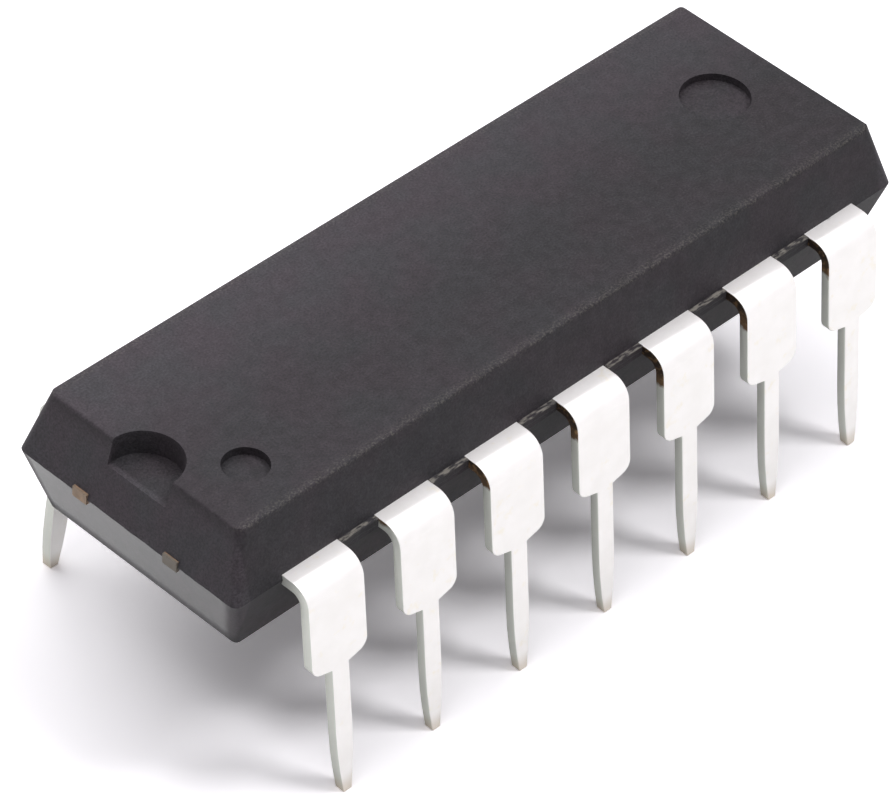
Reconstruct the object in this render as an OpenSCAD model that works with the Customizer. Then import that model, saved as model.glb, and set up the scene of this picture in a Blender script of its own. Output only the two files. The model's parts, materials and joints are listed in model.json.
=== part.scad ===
// Plastic dual in-line package with two rows of seven leads.
// X runs along the body, with the notch at the -X end. Leads 1 to 7 stand along -Y
// and 8 to 14 along +Y, numbered round the package from the notch.
// Millimetres. The origin is under the middle of the body, at the tips of the leads.

/* [Body] */
// Distance from the middle of an end lead to the end of the body, at the parting line
end_len = 2.03; // [1.7:0.01:2.8]
// Width of the body at its parting line
body_wid = 6.3; // [6.1:0.05:7]
// Thickness of the body, half above and half below the lead frame
body_h = 3.1; // [2.8:0.1:3.8]
// Draft of the long sides from the vertical, in degrees
side_draft = 15; // [7:0.5:16]
// Draft of the two ends from the vertical, in degrees
end_draft = 16.5; // [7:0.5:18]
// Radius along the edges of the top and bottom faces
edge_r = 0.08; // [0.08:0.01:0.2]
// Radius along the slanted edges at the four corners
side_edge_r = 0.2; // [0.05:0.01:0.3]
// How far the moulding flash between two leads stands out of the side
flash_out = 0.1; // [0.04:0.01:0.2]

/* [Marks] */
// Radius of the half-round notch at the lead 1 end
notch_r = 0.85; // [0.5:0.05:1]
// Depth of the notch
notch_deep = 0.6; // [0.3:0.05:0.8]
// Diameter of the round dimple beside lead 1
dimple_d = 1; // [0.6:0.05:1.2]
// Depth of the dimple
dimple_deep = 0.2; // [0.04:0.02:0.3]
// Distance of the dimple's centre from the end edge of the top face
dimple_in_x = 1.4; // [1.2:0.05:2]
// Distance of the dimple's centre from the side edge of the top face
dimple_in_y = 1.3; // [0.8:0.05:1.6]
// Diameter of the ejector-pin marks
ejector_d = 1.55; // [1:0.05:2]
// Depth of the ejector-pin marks
ejector_deep = 0.18; // [0.03:0.01:0.3]
// Distance of an ejector mark's centre from the end edge of its face
ejector_in = 1.75; // [1.5:0.05:3]
// Distance of the top ejector mark from the middle line of the body
ejector_y = 0.12; // [0:0.02:0.3]

/* [Leads] */
// Distance between neighbouring leads
pitch = 2.54; // [2.5:0.01:2.6]
// Thickness of the lead frame's strip
lead_t = 0.25; // [0.2:0.01:0.3]
// Width of a lead's shoulder
shoulder_w = 1.52; // [1.2:0.02:1.7]
// Width of the leg below the shoulder
leg_w = 0.46; // [0.38:0.01:0.56]
// Width of the leg at its tip
tip_w = 0.22; // [0.15:0.01:0.36]
// Length over which the leg curves in to its tip
taper_len = 1.6; // [0.8:0.1:2.4]
// Length of the leg below the shoulder
leg_len = 3.25; // [2.6:0.05:3.8]
// Height of the body's underside above the bottom of the shoulders
standoff = 0.6; // [0.4:0.05:1]
// Distance from the body's side to the outer face of a lead below its bend
lead_reach = 0.75; // [0.65:0.01:1]
// Inner radius of the lead's bend
bend_r = 0.25; // [0.15:0.01:0.3]
// Angle by which a leg leans outwards, in degrees
lean = 6.7; // [0:0.1:10]
// Radius of the shoulder's lower corners
corner_r = 0.28; // [0.1:0.01:0.35]
// How much the shoulder's lower edge rises from the leg to the corner
corner_rise = 0.12; // [0:0.01:0.3]

/* [Lead frame inside the body] */
// How far a lead keeps its full width inside the body
root_in = 0.6; // [0.4:0.05:0.9]
// Width of the fingers that run in to the die paddle
finger_w = 0.44; // [0.3:0.01:0.5]
// Gap between the fingers and the die paddle
finger_gap = 0.3; // [0.2:0.01:0.4]
// Gap between two fingers, and between a finger and the paddle's bar
finger_space = 0.2; // [0.15:0.01:0.25]
// Diameter of the locking hole in each of the four corner leads
lock_d = 0.5; // [0.3:0.05:0.6]
// Length of the die paddle
paddle_len = 3.5; // [3:0.1:4]
// Width of the die paddle
paddle_wid = 2.6; // [2.4:0.1:2.9]
// Radius of the paddle's corners
paddle_r = 0.2; // [0.05:0.01:0.3]
// How far the paddle lies below the leads
downset = 0.2; // [0.1:0.01:0.3]
// Width of the bar that carries the paddle at each end
bar_w = 0.6; // [0.4:0.02:0.7]
// Width of the two tie bars into which that bar forks
tie_w = 0.4; // [0.3:0.02:0.5]
// Distance of a tie bar's centre from the middle of the body
tie_y = 1.3; // [1:0.05:1.6]
// Distance from the end of the body to the fork
fork_in = 0.75; // [0.6:0.05:1]
// How far the cut tie bars stand out of the end of the body
tie_out = 0.03; // [0:0.01:0.1]

/* [Chip and wires] */
// Length of the silicon die
die_len = 2; // [1.9:0.05:2.6]
// Width of the silicon die
die_wid = 1.6; // [1.2:0.05:2]
// Thickness of the silicon die
die_t = 0.3; // [0.2:0.01:0.35]
// Thickness of the adhesive under the die
attach_t = 0.03; // [0.02:0.005:0.05]
// Distance between neighbouring bond pads along the die's edge
pad_pitch = 0.26; // [0.15:0.01:0.28]
// Distance of the bond pads from the die's edge
pad_in = 0.12; // [0.08:0.01:0.2]
// Diameter of the bond wires
wire_d = 0.03; // [0.025:0.005:0.05]
// Diameter of the flattened ball at the die end of a wire
ball_d = 0.09; // [0.07:0.005:0.12]
// Height of that ball
ball_h = 0.03; // [0.02:0.005:0.05]
// Straight rise of a wire above its ball
wire_rise = 0.08; // [0.04:0.01:0.2]
// Radius of a wire's upper bend
wire_bend = 0.1; // [0.06:0.01:0.15]
// Distance of a wire's weld from the end of its finger
weld_in = 0.16; // [0.1:0.01:0.25]

/* [Hidden] */
ROW = 7;

$fn = 48;
// Sides of the large circles that shape the legs' tips
taper_sides = 480;
// Overlap of cutting shapes past the faces that they cut
over = 1;
// Sides of a bond wire's tube, and steps round its bend
wire_sides = 8;
wire_steps = 6;

body_len = (ROW - 1) * pitch + 2 * end_len;
part_z = leg_len + standoff + body_h / 2;
top_z = part_z + body_h / 2;
base_z = part_z - body_h / 2;
top_len = body_len - body_h * tan(end_draft);
top_wid = body_wid - body_h * tan(side_draft);

bend_out = bend_r + lead_t;
bend_y = body_wid / 2 + lead_reach - bend_out * cos(lean);
bend_z = part_z + lead_t / 2 - bend_out;
root_y = body_wid / 2 - root_in;

frame_top = part_z + lead_t / 2;
frame_base = part_z - lead_t / 2;
paddle_top = frame_top - downset;
die_base = paddle_top + attach_t;
die_top = die_base + die_t;

// Vector of length one along v
function unit(v) = v / norm(v);

// Directions of the two edges that leave corner i of an outline
function edge_back(pts, i) = unit(pts[(i + len(pts) - 1) % len(pts)] - pts[i]);
function edge_on(pts, i) = unit(pts[(i + 1) % len(pts)] - pts[i]);

// Half of the angle inside corner i
function half_angle(pts, i) = acos(edge_back(pts, i) * edge_on(pts, i)) / 2;

// An outline whose outward corners are rounded, each by its own radius, 0 for a sharp one
module rounded_outline(pts, radii) {
    ids = [0 : len(pts) - 1];
    polygon([for (i = ids) each radii[i] > 0
        ? [pts[i] + edge_back(pts, i) * radii[i] / tan(half_angle(pts, i)),
           pts[i] + edge_on(pts, i) * radii[i] / tan(half_angle(pts, i))]
        : [pts[i]]]);
    for (i = ids) if (radii[i] > 0)
        translate(pts[i] + unit(edge_back(pts, i) + edge_on(pts, i))
            * radii[i] / sin(half_angle(pts, i))) circle(radii[i]);
}

// A section drawn in X and Z, carried along Y from y0 over length l
module along_y(y0, l) translate([0, y0 + l, 0]) rotate([90, 0, 0]) linear_extrude(l) children();

// A section drawn in Y and Z, carried along X and centred on it
module along_x(l) rotate([90, 0, 90]) linear_extrude(l, center = true) children();

// Section of the two mould halves, widest at the parting line and drafted to both faces
module drafted_section(wide, draft) {
    narrow = wide - body_h * tan(draft);
    rounded_outline(
        [[-wide / 2, part_z], [-narrow / 2, base_z], [narrow / 2, base_z],
         [wide / 2, part_z], [narrow / 2, top_z], [-narrow / 2, top_z]],
        [0, edge_r, edge_r, 0, edge_r, edge_r]);
}

// What a mould's rounded corner leaves off the slanted edge above the parting line at +X, +Y.
// Its section, square to the edge, lies between the two faces and the circle that touches both.
module corner_waste() {
    side_face = [0, cos(side_draft), sin(side_draft)];
    end_face = [cos(end_draft), 0, sin(end_draft)];
    edge = unit(cross(side_face, end_face));
    edge_up = edge.z > 0 ? edge : -edge;
    out = unit(side_face + end_face);
    across = cross(edge_up, out);
    turn = acos(side_face * out);
    centre = -side_edge_r / cos(turn);
    touch = [centre + side_edge_r * cos(turn), side_edge_r * sin(turn)];
    intersection() {
        translate([0, 0, part_z]) cube([body_len, body_wid, body_h]);
        multmatrix([[out.x, across.x, edge_up.x, body_len / 2],
                    [out.y, across.y, edge_up.y, body_wid / 2],
                    [out.z, across.z, edge_up.z, part_z],
                    [0, 0, 0, 1]])
            linear_extrude(2 * body_h, center = true) difference() {
                polygon([[centre, 0], [touch.x, -touch.y], [over, -touch.y], [over, touch.y], touch]);
                translate([centre, 0]) circle(side_edge_r);
            }
    }
}

// The moulding as it leaves the mould, before the lead frame's space is taken out
module moulding() {
    difference() {
        intersection() {
            along_x(body_len + over) drafted_section(body_wid, side_draft);
            along_y(-body_wid / 2 - over, body_wid + 2 * over) drafted_section(body_len, end_draft);
        }
        for (x = [0, 1], y = [0, 1], z = [0, 1]) mirror([x, 0, 0]) mirror([0, y, 0])
            translate([0, 0, z * part_z]) mirror([0, 0, z]) translate([0, 0, -z * part_z])
                corner_waste();
    }
    for (i = [1 : ROW - 1], side = [-1, 1])
        translate([lead_x(i), side > 0 ? root_y : -body_wid / 2 - flash_out, frame_base])
            cube([pitch, root_in + flash_out, lead_t]);
}

module ejector_mark(x, y, z) translate([x, y, z])
    cylinder(d = ejector_d, h = 2 * ejector_deep, center = true);

module marks() {
    translate([-top_len / 2, 0, top_z - notch_deep]) cylinder(r = notch_r, h = notch_deep + over);
    translate([-top_len / 2 + dimple_in_x, -top_wid / 2 + dimple_in_y, top_z - dimple_deep])
        cylinder(d = dimple_d, h = dimple_deep + over);
    ejector_mark(top_len / 2 - ejector_in, ejector_y, top_z);
    for (side = [-1, 1]) ejector_mark(side * (top_len / 2 - ejector_in), 0, base_z);
}

// The black moulding: solid, and closed round every piece that it holds
module body() color("#3a373b") difference() {
    moulding();
    marks();
    for (i = [1 : 2 * ROW]) {
        lead(i);
        bond_wire(i);
    }
    die_paddle();
    die_attach();
    die();
}

// Place of lead i along X, and its side: -1 for the -Y row, 1 for the +Y row
function in_first_row(i) = i <= ROW;
function row_slot(i) = in_first_row(i) ? i - 1 : 2 * ROW - i;
function lead_x(i) = (row_slot(i) - (ROW - 1) / 2) * pitch;
function lead_side(i) = in_first_row(i) ? -1 : 1;
// Steps from the middle lead of the row, and the direction away from the middle
function steps_out(i) = abs(row_slot(i) - (ROW - 1) / 2);
function outward(i) = sign(lead_x(i)) == 0 ? 1 : sign(lead_x(i));

// Middle line of a lead's finger in its own quadrant, from the root to the tip.
// The middle lead runs straight in, the next one slants to the paddle's long side,
// and the outer two run to the paddle's end, beside the bar that carries it.
finger_end_x = paddle_len / 2 + finger_gap;
finger_end_y = paddle_wid / 2 + finger_gap;
inner_row_y = bar_w / 2 + finger_space + finger_w / 2;
outer_row_y = inner_row_y + finger_w + finger_space;
function finger_line(k) =
    k == 0 ? [[0, root_y], [0, finger_end_y]] :
    k == 1 ? [[pitch, root_y], [pitch, root_y - finger_w / 2],
              [finger_end_x / 2, finger_end_y + finger_w / 2], [finger_end_x / 2, finger_end_y]] :
    k == 2 ? [[2 * pitch, root_y], [2 * pitch, root_y - finger_w / 2],
              [finger_end_x + finger_w, outer_row_y], [finger_end_x, outer_row_y]] :
             [[3 * pitch, root_y], [3 * pitch, inner_row_y + 2 * finger_w],
              [3 * pitch - finger_w, inner_row_y], [finger_end_x, inner_row_y]];

// A strip of width w along a line of points, round at its turns and square at its ends
module strip(pts, w) {
    for (i = [1 : len(pts) - 1]) {
        step = pts[i] - pts[i - 1];
        translate(pts[i - 1]) rotate(atan2(step.y, step.x))
            translate([0, -w / 2]) square([norm(step), w]);
    }
    for (i = [1 : len(pts) - 2]) translate(pts[i]) circle(d = w);
}

// Flat of a lead in plan: the wide root that comes out of the body, and the finger
module lead_plan(i) {
    k = steps_out(i);
    difference() {
        union() {
            translate([k * pitch - shoulder_w / 2, root_y]) square([shoulder_w, bend_y - root_y]);
            strip(finger_line(k), finger_w);
        }
        if (k == (ROW - 1) / 2) translate([k * pitch, root_y + root_in / 2]) circle(d = lock_d);
    }
}

// Side view of a lead outside the body, in Y and Z: the bend, then the leaning leg
module lead_side_view() {
    leg_run = (bend_z + bend_out) / cos(lean);
    intersection() {
        translate([bend_y, bend_z]) {
            difference() {
                circle(bend_out);
                circle(bend_r);
                rotate(lean) translate([-2 * bend_out, -2 * bend_out])
                    square([4 * bend_out, 2 * bend_out]);
                translate([-2 * bend_out, -2 * bend_out]) square([2 * bend_out, 4 * bend_out]);
            }
            rotate(lean) translate([bend_r, -leg_run]) square([lead_t, leg_run]);
        }
        square([bend_y + leg_run, part_z + lead_t]);
    }
}

// Front view of a lead, in X and Z: wide shoulder, narrow leg, and a tip to which the leg's
// two edges curve in along circles that touch its straight sides
module lead_front_view() {
    corner_z = leg_len + corner_rise;
    tip_in = (leg_w - tip_w) / 2;
    taper_r = (taper_len ^ 2 + tip_in ^ 2) / (2 * tip_in);
    rounded_outline(
        [[-shoulder_w / 2, part_z + lead_t], [-shoulder_w / 2, corner_z], [-leg_w / 2, leg_len],
         [leg_w / 2, leg_len], [shoulder_w / 2, corner_z], [shoulder_w / 2, part_z + lead_t]],
        [0, corner_r, 0, 0, corner_r, 0]);
    translate([-leg_w / 2, taper_len]) square([leg_w, leg_len - taper_len]);
    intersection() {
        translate([-leg_w / 2, 0]) square([leg_w, taper_len]);
        translate([leg_w / 2 - taper_r, taper_len]) circle(taper_r, $fn = taper_sides);
        translate([taper_r - leg_w / 2, taper_len]) circle(taper_r, $fn = taper_sides);
    }
}

// One lead of the frame, cut from flat strip and bent down outside the body
module lead(i) color("#d9d5cd") mirror([outward(i) < 0 ? 1 : 0, 0, 0])
    mirror([0, lead_side(i) < 0 ? 1 : 0, 0]) {
        translate([0, 0, frame_base]) linear_extrude(lead_t) lead_plan(i);
        translate([steps_out(i) * pitch, 0, 0]) intersection() {
            along_x(shoulder_w + over) lead_side_view();
            along_y(bend_y - over, lead_reach + leg_len + over) lead_front_view();
        }
    }

// Plan of the paddle: the plate under the die, with a forked bar to each end
module paddle_plan() {
    plate = [[-paddle_len, -paddle_wid], [paddle_len, -paddle_wid],
             [paddle_len, paddle_wid], [-paddle_len, paddle_wid]] / 2;
    rounded_outline(plate, [paddle_r, paddle_r, paddle_r, paddle_r]);
    fork_x = body_len / 2 - fork_in;
    end_x = body_len / 2 + tie_out;
    square([2 * fork_x, bar_w], center = true);
    for (side = [-1, 1]) {
        translate([side * fork_x, 0]) square([tie_w, 2 * tie_y + tie_w], center = true);
        for (y = [-tie_y, tie_y])
            translate([side * (fork_x + end_x) / 2, y]) square([end_x - fork_x, tie_w], center = true);
    }
}

// Side view of the paddle, in X and Z: it steps down by the downset past the fingers' ends
module paddle_side_view() {
    step_x = paddle_len / 2 + finger_gap;
    flat_x = step_x + 2 * downset;
    far_x = body_len / 2 + tie_out;
    polygon([[-far_x, frame_top], [-flat_x, frame_top], [-step_x, paddle_top], [step_x, paddle_top],
             [flat_x, frame_top], [far_x, frame_top],
             [far_x, frame_base], [flat_x, frame_base], [step_x, frame_base - downset],
             [-step_x, frame_base - downset], [-flat_x, frame_base], [-far_x, frame_base]]);
}

// The die paddle with its tie bars, which are cut off at the ends of the body
module die_paddle() color("#b87a4a") intersection() {
    translate([0, 0, frame_base - downset - over]) linear_extrude(downset + lead_t + 2 * over) paddle_plan();
    along_y(-body_wid / 2, body_wid) paddle_side_view();
}

// The adhesive that holds the die on the paddle
module die_attach() color("#c9c9c4") translate([-die_len / 2, -die_wid / 2, paddle_top])
    cube([die_len, die_wid, attach_t]);

// The silicon die
module die() color("#4c4f5a") translate([-die_len / 2, -die_wid / 2, die_base])
    cube([die_len, die_wid, die_t]);

// Ends of a bond wire in the lead's own quadrant: its pad, and its weld on the finger
function pad_at(k) = [k * pad_pitch, die_wid / 2 - pad_in];
function weld_at(k) = let (line = finger_line(k), n = len(line))
    line[n - 1] + unit(line[n - 2] - line[n - 1]) * weld_in;

// Stations along a bond wire that spans a distance, each with its distance from the pad,
// height, direction in degrees above the level, and radius: a ball on the die, a short rise,
// a round bend and a straight run down to the weld. The run is the tangent from the bend's
// circle to the weld.
function wire_stations(span) = let (
        bend_top = die_top + ball_h + wire_rise,
        across = span - wire_bend,
        drop = bend_top - frame_top,
        slope = atan2(drop, across) + asin(wire_bend / norm([across, drop])))
    concat(
        [[0, die_top, 90, ball_d / 2], [0, die_top + ball_h, 90, ball_d / 2],
         [0, die_top + ball_h, 90, wire_d / 2]],
        [for (step = [0 : wire_steps]) let (a = 90 - step * (90 + slope) / wire_steps)
            [wire_bend * (1 - sin(a)), bend_top + wire_bend * cos(a), a, wire_d / 2]],
        [[span, frame_top, -slope, wire_d / 2]]);

// Ring of points round one station. The last one is cut level, so that it lies on the finger.
function wire_ring(at, level_cut) = [for (side = [0 : wire_sides - 1])
    let (turn = 360 * side / wire_sides, in_plane = at[3] * cos(turn),
         slide = level_cut ? -in_plane * cos(at[2]) / sin(at[2]) : 0)
    [at[0] - in_plane * sin(at[2]) + slide * cos(at[2]), at[3] * sin(turn),
     at[1] + in_plane * cos(at[2]) + slide * sin(at[2])]];

// A bond wire, swept along its stations as one closed tube
module bond_wire(i) color("#e0b040") mirror([outward(i) < 0 ? 1 : 0, 0, 0])
    mirror([0, lead_side(i) < 0 ? 1 : 0, 0]) {
        run = weld_at(steps_out(i)) - pad_at(steps_out(i));
        stations = wire_stations(norm(run));
        last = len(stations) - 1;
        n = wire_sides;
        translate([pad_at(steps_out(i)).x, pad_at(steps_out(i)).y, 0]) rotate(atan2(run.y, run.x))
            polyhedron(
                [for (j = [0 : last]) each wire_ring(stations[j], j == last)],
                concat(
                    [[for (side = [0 : n - 1]) side]],
                    [for (j = [0 : last - 1], side = [0 : n - 1]) let (next = (side + 1) % n)
                        each [[j * n + side, (j + 1) * n + side, (j + 1) * n + next],
                              [j * n + side, (j + 1) * n + next, j * n + next]]],
                    [[for (side = [n - 1 : -1 : 0]) last * n + side]]));
    }

body();
die_paddle();
die_attach();
die();
lead(1);  // lead_1
lead(2);  // lead_2
lead(3);  // lead_3
lead(4);  // lead_4
lead(5);  // lead_5
lead(6);  // lead_6
lead(7);  // lead_7
lead(8);  // lead_8
lead(9);  // lead_9
lead(10);  // lead_10
lead(11);  // lead_11
lead(12);  // lead_12
lead(13);  // lead_13
lead(14);  // lead_14
bond_wire(1);  // bond_wire_1
bond_wire(2);  // bond_wire_2
bond_wire(3);  // bond_wire_3
bond_wire(4);  // bond_wire_4
bond_wire(5);  // bond_wire_5
bond_wire(6);  // bond_wire_6
bond_wire(7);  // bond_wire_7
bond_wire(8);  // bond_wire_8
bond_wire(9);  // bond_wire_9
bond_wire(10);  // bond_wire_10
bond_wire(11);  // bond_wire_11
bond_wire(12);  // bond_wire_12
bond_wire(13);  // bond_wire_13
bond_wire(14);  // bond_wire_14
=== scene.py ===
"""Looks of a plastic dual in-line package, dressed round its CAD frame."""
import json
import math

import bmesh
import bpy
import numpy as np
from mathutils import Matrix, Vector


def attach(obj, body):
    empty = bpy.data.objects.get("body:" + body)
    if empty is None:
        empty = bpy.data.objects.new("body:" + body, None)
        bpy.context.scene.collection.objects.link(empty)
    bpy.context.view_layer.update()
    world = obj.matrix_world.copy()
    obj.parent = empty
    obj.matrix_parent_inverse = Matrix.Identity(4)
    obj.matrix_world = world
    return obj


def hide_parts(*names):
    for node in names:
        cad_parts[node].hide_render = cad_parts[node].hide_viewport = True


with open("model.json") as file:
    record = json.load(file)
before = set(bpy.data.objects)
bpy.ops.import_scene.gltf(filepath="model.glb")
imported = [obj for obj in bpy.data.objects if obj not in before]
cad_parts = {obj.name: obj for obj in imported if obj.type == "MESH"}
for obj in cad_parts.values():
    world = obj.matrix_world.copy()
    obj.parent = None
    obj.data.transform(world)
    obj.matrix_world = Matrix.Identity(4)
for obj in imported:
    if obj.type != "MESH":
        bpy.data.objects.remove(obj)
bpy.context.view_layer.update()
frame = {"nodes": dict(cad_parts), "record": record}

MM = 0.001
IMAGE_W = 894
# Heights of the body's underside, its parting line, its top face and the top of the flash,
# in millimetres
BASE_Z, PART_Z, TOP_Z, FLASH_Z = 3.85, 5.4, 6.95, 5.525
# Half the body's length and width at the parting line and half the width of its top face, in
# millimetres, and the draft of its ends and sides in degrees
HALF_LENGTH, HALF_WIDTH, TOP_HALF_WIDTH, END_DRAFT, SIDE_DRAFT = 9.65, 3.15, 2.735, 16.5, 15
LEADS = [f"lead_{i}" for i in range(1, 15)]

# Rounding that stamping and plating leave on a lead's edges, in millimetres, with its steps
LEAD_EDGE, EDGE_STEPS = 0.04, 3
# Least angle between two faces of an edge that is rounded, and the angle within which two
# triangles are one flat face
SHARP_ANGLE, FLAT_ANGLE = math.radians(40), math.radians(0.5)
# Height down to which each lead's side faces are bare, where the strip was cut apart, and the
# height below which a face that looks down is the end of a leg, in millimetres
CUT_FEET = (5.7, 5.4, 5.05, 4.8, 4.75, 4.8, 4.75, 4.9, 4.75, 5.0, 4.8, 4.85, 4.75, 5.7)
LEG_END_Z = 0.3
# Least share of a face's normal along an axis at which the face counts as looking that way
FACING = 0.8
# Colours of the strip's copper alloy, clean and oxidised
CLEAN_COPPER, DULL_COPPER = (0.56, 0.33, 0.19), (0.34, 0.22, 0.14)

# Camera of the photograph: the point that it looks at, its heading east of +Y, its height
# above the level, its roll, its distance, and its focal length in pixels of the picture
CAMERA_AIM = (-2.272 * MM, -1.623 * MM, 5.4 * MM)
CAMERA_HEADING = 47.89
CAMERA_DOWN = 42.28
CAMERA_ROLL = 3.889
CAMERA_DISTANCE = 117.08 * MM
FOCAL_PIXELS = 5783
SENSOR_W = 36.0

# Lamps, each with its direction from the part, its size in metres and its brightness, then
# the brightness of the surroundings, half the paper's width in metres, and how white the
# paper is to the light, in mirrors and to the camera, with its tint to the camera
LAMPS = {"key": ((0.306, -0.361, 0.881), 0.10, 0.30),
         "back": ((0.0, 0.42, 0.91), 0.40, 0.43),
         "side": ((-0.36, -0.20, 0.91), 0.20, 0.13)}
LAMP_DISTANCE = 0.4
AMBIENT = 0.24
PAPER_HALF = 0.15
PAPER, PAPER_IN_MIRRORS, PAPER_SEEN = 0.4, 1.2, 1.52
PAPER_TINT = (0.99, 0.97, 1)


class Socket:
    """A number in a shader. The usual operators on it add Math nodes."""

    def __init__(self, shader, socket):
        self.shader, self.socket = shader, socket

    def _math(self, operation, *values):
        return self.shader.node("ShaderNodeMath", {"operation": operation}, *values)

    def __add__(self, other):
        return self._math("ADD", self, other)

    def __radd__(self, other):
        return self._math("ADD", other, self)

    def __sub__(self, other):
        return self._math("SUBTRACT", self, other)

    def __rsub__(self, other):
        return self._math("SUBTRACT", other, self)

    def __mul__(self, other):
        return self._math("MULTIPLY", self, other)

    def __rmul__(self, other):
        return self._math("MULTIPLY", other, self)

    def ramp(self, low, high, out_low=0.0, out_high=1.0):
        """Rises smoothly from out_low at low to out_high at high."""
        return self.shader.node("ShaderNodeMapRange", {"interpolation_type": "SMOOTHSTEP"},
                                self, low, high, out_low, out_high)


class Nodes:
    """A node tree that nodes can be added to."""

    def __init__(self, tree):
        self.tree = tree

    def node(self, kind, settings=None, *values, output=0, **named):
        """Adds a node: its settings first, then the values or links of its input sockets."""
        made = self.tree.nodes.new(kind)
        for key, value in (settings or {}).items():
            setattr(made, key, value)
        for place, value in [*enumerate(values), *named.items()]:
            socket = made.inputs[place if isinstance(place, int) else place.replace("_", " ")]
            if isinstance(value, Socket):
                self.tree.links.new(value.socket, socket)
            elif value is not None:
                socket.default_value = value
        return Socket(self, made.outputs[output])

    def ray(self, kind):
        """1 for rays of that kind, and 0 for all others."""
        return self.node("ShaderNodeLightPath", output=f"Is {kind} Ray")


class Shader(Nodes):
    """A procedural material on the Principled shader."""

    def __init__(self, name, **constants):
        self.material = bpy.data.materials.new(name)
        self.material.use_nodes = True
        super().__init__(self.material.node_tree)
        self.principled = self.tree.nodes["Principled BSDF"]
        for socket, value in constants.items():
            self.principled.inputs[socket.replace("_", " ")].default_value = value

    def position(self):
        return self.node("ShaderNodeTexCoord", output="Object")

    def coordinate(self, axis):
        return self.node("ShaderNodeSeparateXYZ", None, self.position(), output=axis)

    def from_middle(self, axis):
        """Distance from the middle plane that is square to the axis."""
        return self.node("ShaderNodeMath", {"operation": "ABSOLUTE"}, self.coordinate(axis))

    def noise(self, size, detail=2.0, roughness=0.5, seed=0.0, stretch=(1, 1, 1)):
        """Noise from 0 to 1 whose grains are about size metres across."""
        scale = [1 / (size * s) for s in stretch]
        place = self.node("ShaderNodeMapping", None, self.position(), (seed, seed, seed),
                          (0, 0, 0), scale)
        return self.node("ShaderNodeTexNoise", None, Vector=place, Scale=1.0, Detail=detail,
                         Roughness=roughness)

    def attribute(self, name):
        """A number that is stored on the mesh's points or faces."""
        return self.node("ShaderNodeAttribute", {"attribute_name": name}, output="Fac")

    def mix(self, share, first, second):
        """A colour between two colours."""
        made = self.tree.nodes.new("ShaderNodeMix")
        made.data_type = "RGBA"
        for place, value in ((0, share), (6, first), (7, second)):
            if isinstance(value, Socket):
                self.tree.links.new(value.socket, made.inputs[place])
            else:
                made.inputs[place].default_value = value if place == 0 else (*value, 1)
        return Socket(self, made.outputs[2])

    def scaled(self, colour, factor):
        """A colour times a number."""
        return self.node("ShaderNodeVectorMath", {"operation": "SCALE"}, colour, Scale=factor)

    def feed(self, **links):
        for name, value in links.items():
            self.tree.links.new(value.socket, self.principled.inputs[name.replace("_", " ")])

    def bump(self, height, distance, strength=1.0):
        self.feed(Normal=self.node("ShaderNodeBump", None, Strength=strength, Distance=distance,
                                   Height=height))


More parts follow.
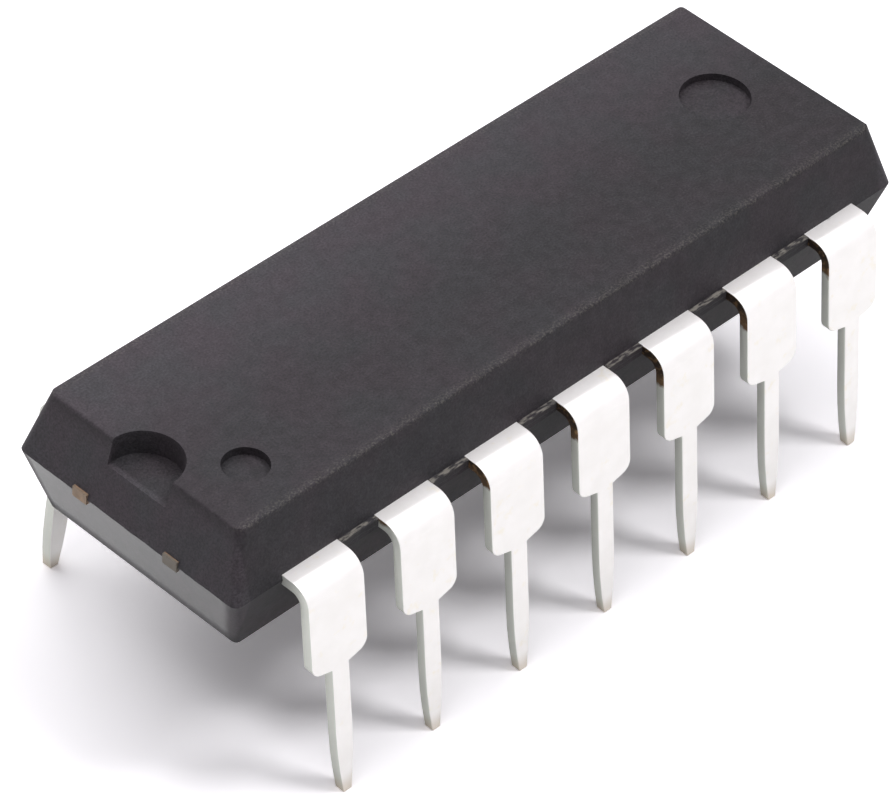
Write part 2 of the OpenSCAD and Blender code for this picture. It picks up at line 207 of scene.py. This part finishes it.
def moulding_compound():
    """Black epoxy. The upper half is matt, with moulded grain, faint warm and cool patches, and
    pale specks of silica; along the long edges of the top face the specks crowd as painted
    glints. The upper faces carry painted light: the top face is paler towards its far side and
    the notch, and the end faces are paler than the long sides. The lower half comes smoother out
    of its mould, and its ends are glossy but for their bottom edge and corners. The top of the
    flash between the leads is painted pale in small patches, as painted glints."""
    s = Shader("moulding_compound", Specular_IOR_Level=0.2, Coat_Roughness=0.22, Coat_IOR=1.6)
    across, along, height = s.from_middle("Y"), s.from_middle("X"), s.coordinate("Z")
    patches = s.noise(1.2 * MM, detail=3)
    grain = s.noise(0.05 * MM, detail=4, roughness=0.65)
    coarse = s.noise(0.25 * MM, detail=3, seed=3.0)
    top = height.ramp((TOP_Z - 0.1) * MM, (TOP_Z - 0.02) * MM)
    far, left = s.coordinate("Y").ramp(-1.0 * MM, 2.5 * MM), s.coordinate("X").ramp(8 * MM, -8 * MM)
    end_face = along.ramp((HALF_LENGTH - 0.45) * MM, (HALF_LENGTH - 0.35) * MM)
    # painted light: the top face darker at its near right and paler towards its far side and the notch,
    # and the end faces paler than the long sides; the coarse noise is the epoxy's own uneven tone
    shade = 0.44 + top * (far * 0.27 + left * 0.11 - 0.12) + end_face * 0.27 + (coarse - 0.5) * 0.4
    tint = s.mix(patches.ramp(0.35, 0.65), (0.089, 0.074, 0.088), (0.081, 0.076, 0.087))
    dark = s.scaled(tint, shade * grain.ramp(0.3, 0.7, 0.6, 1.4))
    edge = across.ramp((TOP_HALF_WIDTH - 0.28) * MM, (TOP_HALF_WIDTH - 0.02) * MM) * top
    speck = s.noise(0.05 * MM, detail=2, roughness=0.7, seed=11.0)
    # pale specks of silica all over, with painted glints added where they crowd along the top face's
    # long edges
    filler_and_edge_glints = speck.ramp(0.42, 0.75) * (0.06 + edge * 0.3)
    # painted glints: the top of the flash between the leads is painted pale in small patches
    glint_chips = s.noise(0.07 * MM, detail=3, seed=21.0, stretch=(3, 1, 1)).ramp(0.4, 0.62)
    ledge = height.ramp((FLASH_Z - 0.03) * MM, (FLASH_Z - 0.01) * MM)
    flash = across.ramp((HALF_WIDTH - 0.03) * MM, (HALF_WIDTH - 0.01) * MM) * ledge * glint_chips
    pale = s.node("ShaderNodeMath", {"operation": "MAXIMUM"}, filler_and_edge_glints, flash)
    ragged = height + (s.noise(0.4 * MM, detail=3, seed=31.0) - 0.5) * (0.12 * MM)
    lower = ragged.ramp(PART_Z * MM, (PART_Z - 0.02) * MM)
    sunk = PART_Z * MM - height
    end_plane = along + sunk * math.tan(math.radians(END_DRAFT))
    side_plane = across + sunk * math.tan(math.radians(SIDE_DRAFT))
    ends = end_plane.ramp((HALF_LENGTH - 0.12) * MM, (HALF_LENGTH - 0.02) * MM, 0.05, 1.0)
    ends = ends * side_plane.ramp((HALF_WIDTH - 0.4) * MM, (HALF_WIDTH - 0.15) * MM, 1.0, 0.2)
    ends = ends * ragged.ramp((BASE_Z + 0.12) * MM, (BASE_Z + 0.42) * MM, 0.3, 1.0)
    s.feed(Base_Color=s.mix(pale, dark, (0.27, 0.25, 0.225)),
           Roughness=grain.ramp(0.3, 0.7, 0.5, 0.7), Coat_Weight=lower * ends)
    s.bump((grain * 0.7 + coarse * 0.6) * (1.0 - lower * 0.85), 0.012 * MM, 0.8)
    return s.material


def tinned_lead():
    """Matt tin plate, with bare brown copper where the strip was cut after plating: on the
    side faces round the bend, and on the ends of the legs. What the moulding covers was never
    plated, so it is copper all over."""
    s = Shader("tinned_lead", Metallic=0.8)
    cloud = s.noise(0.5 * MM, detail=3)
    fine = s.noise(0.03 * MM, detail=3, roughness=0.6)
    streak = s.noise(0.05 * MM, detail=2, stretch=(1, 1, 12))
    tin = s.mix(cloud.ramp(0.3, 0.7), (0.925, 0.90, 0.89), (0.955, 0.93, 0.925))
    stain = s.noise(0.35 * MM, detail=3, roughness=0.6, seed=14.0).ramp(0.58, 0.75)
    tin = s.mix(stain * 0.5, tin, (0.90, 0.84, 0.72))
    # painted shade: the side faces of the tin are painted a darker grey, as where they mirror the
    # shadowed paper
    tin = s.mix(s.attribute("cut_side_and_painted_shade") * 0.8, tin, (0.60, 0.62, 0.57))
    tip = s.coordinate("Z").ramp(0.5 * MM, 0.0)
    tin = s.mix(tip * 0.6, tin, (0.55, 0.46, 0.36))
    ragged = s.coordinate("Z") + (s.noise(0.3 * MM, detail=3) - 0.5) * (0.5 * MM)
    above = ragged - s.attribute("cut_foot")
    cut = s.attribute("cut_side_and_painted_shade") * above.ramp(0.0, 0.12 * MM)
    bare = s.node("ShaderNodeMath", {"operation": "MAXIMUM"}, cut, s.attribute("cut_end") * 0.6)
    golden = s.noise(0.12 * MM, detail=3, seed=5.0).ramp(0.48, 0.8)
    # the bare copper turns golden towards its lower end, its own colour; that it stays near black higher
    # up, by the moulding, is painted shade
    golden = golden + above.ramp(0.45 * MM, 0.15 * MM, 0.0, 0.45)
    copper = s.mix(golden, (0.045, 0.030, 0.022), (0.30, 0.18, 0.09))
    sealed = s.from_middle("Y").ramp((HALF_WIDTH - 0.05) * MM, (HALF_WIDTH - 0.07) * MM)
    unplated = s.mix(s.noise(0.15 * MM, detail=4).ramp(0.3, 0.7), CLEAN_COPPER, DULL_COPPER)
    s.feed(Base_Color=s.mix(sealed, s.mix(bare, tin, copper), unplated),
           Roughness=fine * 0.16 + streak * 0.12 + 0.38)
    s.bump(fine + streak * 0.5, 0.002 * MM, 0.5)
    return s.material


def bare_copper():
    """Stamped copper alloy, dull and oxidised, with smears of resin on the cut ends."""
    s = Shader("bare_copper")
    tarnish = s.noise(0.15 * MM, detail=4)
    copper = s.mix(tarnish.ramp(0.3, 0.7), CLEAN_COPPER, DULL_COPPER)
    cut_end = s.from_middle("X").ramp((HALF_LENGTH - 0.05) * MM, HALF_LENGTH * MM)
    smear = s.coordinate("Y").ramp(1.0 * MM, -1.0 * MM, 0.35, 0.9)
    resin = cut_end * s.noise(0.2 * MM, detail=2, seed=8.0).ramp(0.35, 0.6, 0.1, 0.3) + smear * cut_end
    s.feed(Base_Color=s.mix(resin, copper, (0.20, 0.17, 0.14)), Metallic=0.9 - resin * 0.8,
           Roughness=tarnish.ramp(0.2, 0.8, 0.4, 0.65))
    s.bump(s.noise(0.02 * MM, detail=3), 0.002 * MM, 0.5)
    return s.material


def die_adhesive():
    """Silver-filled epoxy, grey and faintly flaky."""
    s = Shader("die_adhesive", Metallic=0.5)
    flakes = s.noise(0.02 * MM, detail=3)
    s.feed(Base_Color=s.mix(flakes, (0.5, 0.5, 0.48), (0.72, 0.72, 0.7)),
           Roughness=flakes.ramp(0.2, 0.8, 0.4, 0.7))
    s.bump(flakes, 0.002 * MM, 0.5)
    return s.material


def silicon():
    """Polished silicon with faint blocks of a circuit's pattern."""
    s = Shader("silicon", Metallic=0.3, Roughness=0.2)
    blocks = s.node("ShaderNodeTexVoronoi", {"distance": "CHEBYCHEV"},
                    Vector=s.position(), Scale=1 / (0.12 * MM), output="Color")
    s.feed(Base_Color=s.mix(0.12, (0.10, 0.11, 0.15), blocks))
    return s.material


def gold_wire():
    """Drawn gold wire with fine lines from the die."""
    s = Shader("gold_wire", Metallic=1.0)
    lines = s.noise(0.01 * MM, detail=2)
    s.feed(Base_Color=s.mix(lines, (0.93, 0.66, 0.26), (1.0, 0.76, 0.36)),
           Roughness=lines.ramp(0.2, 0.8, 0.2, 0.35))
    s.bump(lines, 0.0005 * MM, 0.3)
    return s.material


def dressed_lead(node):
    """A lead with soft edges in place of its CAD solid: the solid's own mesh, its loose
    triangles merged into flat faces, and each sharp edge rounded. Faces that look along X,
    where the strip was cut from its neighbours, are marked with 1 as cut and as where the tin
    carries painted shade; the end of the leg is marked as cut too."""
    work = bmesh.new()
    work.from_mesh(frame["nodes"][node].data)
    bmesh.ops.scale(work, vec=(1 / MM,) * 3, verts=work.verts)
    bmesh.ops.remove_doubles(work, verts=work.verts, dist=1e-4)
    bmesh.ops.dissolve_limit(work, angle_limit=FLAT_ANGLE, verts=work.verts,
                             edges=work.edges, use_dissolve_boundaries=False)
    sharp = [e for e in work.edges if len(e.link_faces) == 2
             and e.calc_face_angle() > SHARP_ANGLE]
    bmesh.ops.bevel(work, geom=sharp, offset=LEAD_EDGE, offset_type="OFFSET", segments=EDGE_STEPS,
                    profile=0.5, affect="EDGES", clamp_overlap=True)
    bmesh.ops.recalc_face_normals(work, faces=work.faces)
    bmesh.ops.scale(work, vec=(MM,) * 3, verts=work.verts)
    mesh = bpy.data.meshes.new("dressed_" + node)
    work.to_mesh(mesh)
    work.free()

    faces = len(mesh.polygons)
    normals, centres = np.empty(faces * 3), np.empty(faces * 3)
    mesh.polygons.foreach_get("normal", normals)
    mesh.polygons.foreach_get("center", centres)
    normals, centres = normals.reshape(-1, 3), centres.reshape(-1, 3)
    side = np.abs(normals[:, 0]) > FACING
    end = (normals[:, 2] < -FACING) & (centres[:, 2] < LEG_END_Z * MM)
    foot = np.full(faces, CUT_FEET[LEADS.index(node)] * MM)
    for name, value in (("cut_side_and_painted_shade", side), ("cut_end", end), ("cut_foot", foot)):
        layer = mesh.attributes.new(name, "FLOAT", "FACE")
        layer.data.foreach_set("value", value.astype(np.float32))
    mesh.polygons.foreach_set("use_smooth", np.ones(faces, bool))
    piece = bpy.data.objects.new("dressed_" + node, mesh)
    bpy.context.scene.collection.objects.link(piece)
    weights = piece.modifiers.new("weights", "WEIGHTED_NORMAL")
    weights.keep_sharp = True
    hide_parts(node)
    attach(piece, "root")
    return piece


def dress(node, material):
    """Gives a CAD node its material."""
    mesh = frame["nodes"][node].data
    mesh.materials.clear()
    mesh.materials.append(material)


def softbox(name, towards, size, level):
    """A square lamp in the given direction from the part. A white surface that faces it shows
    at the given level, where 1 is white."""
    data = bpy.data.lights.new(name, "AREA")
    data.size = size
    data.energy = level * math.pi ** 2 * (LAMP_DISTANCE ** 2 + size ** 2 / math.pi)
    lamp = bpy.data.objects.new(name, data)
    direction = Vector(towards).normalized()
    lamp.location = direction * LAMP_DISTANCE
    lamp.rotation_euler = direction.to_track_quat("Z", "Y").to_euler()
    bpy.context.scene.collection.objects.link(lamp)


def studio():
    """White paper under the part, white surroundings, and the lamps. The light that the paper and
    the surroundings throw on the part is weaker than they look."""
    corners = [(-1, -1), (1, -1), (1, 1), (-1, 1)]
    mesh = bpy.data.meshes.new("floor")
    mesh.from_pydata([(x * PAPER_HALF, y * PAPER_HALF, 0) for x, y in corners], [], [(0, 1, 2, 3)])
    floor = bpy.data.objects.new("floor", mesh)
    bpy.context.scene.collection.objects.link(floor)
    s = Shader("floor_paper", Roughness=0.9, Specular_IOR_Level=0.0)
    in_mirrors = s.mix(s.ray("Glossy"), (PAPER,) * 3, (PAPER_IN_MIRRORS,) * 3)
    seen = [PAPER_SEEN * share for share in PAPER_TINT]
    s.feed(Base_Color=s.mix(s.ray("Camera"), in_mirrors, seen))
    mesh.materials.append(s.material)

    world = bpy.data.worlds.new("studio")
    bpy.context.scene.world = world
    world.use_nodes = True
    s = Nodes(world.node_tree)
    background = s.tree.nodes["Background"]
    background.inputs["Color"].default_value = (0.985, 0.98, 1, 1)
    direct = s.ray("Camera") + s.ray("Glossy") + s.ray("Transmission")
    s.tree.links.new(direct.ramp(0, 1, AMBIENT, 1.0).socket, background.inputs["Strength"])
    for name, (towards, size, level) in LAMPS.items():
        softbox(name, towards, size, level)


def camera():
    """The photograph's camera, aimed at the middle of its picture."""
    heading, down = math.radians(CAMERA_HEADING), math.radians(CAMERA_DOWN)
    forward = Vector((math.sin(heading) * math.cos(down), math.cos(heading) * math.cos(down),
                      -math.sin(down)))
    data = bpy.data.cameras.new("camera")
    data.sensor_width = SENSOR_W
    data.lens = FOCAL_PIXELS / IMAGE_W * SENSOR_W
    data.clip_start, data.clip_end = 0.001, 10
    made = bpy.data.objects.new("camera", data)
    level = forward.to_track_quat("-Z", "Y").to_matrix().to_4x4()
    roll = Matrix.Rotation(math.radians(CAMERA_ROLL), 4, "Z")
    made.matrix_world = Matrix.Translation(Vector(CAMERA_AIM) - forward * CAMERA_DISTANCE) @ level @ roll
    bpy.context.scene.collection.objects.link(made)
    bpy.context.scene.camera = made


bpy.context.scene.view_settings.view_transform = "Standard"
MATERIALS = {"moulding_compound": moulding_compound(), "tinned_lead": tinned_lead(),
             "bare_copper": bare_copper(), "die_adhesive": die_adhesive(), "silicon": silicon(),
             "gold_wire": gold_wire()}
for part in frame["record"]["subparts"]:
    dress(part["node"], MATERIALS[part["material_slot"]])
for lead in LEADS:
    dressed_lead(lead).data.materials.append(MATERIALS["tinned_lead"])
studio()
camera()
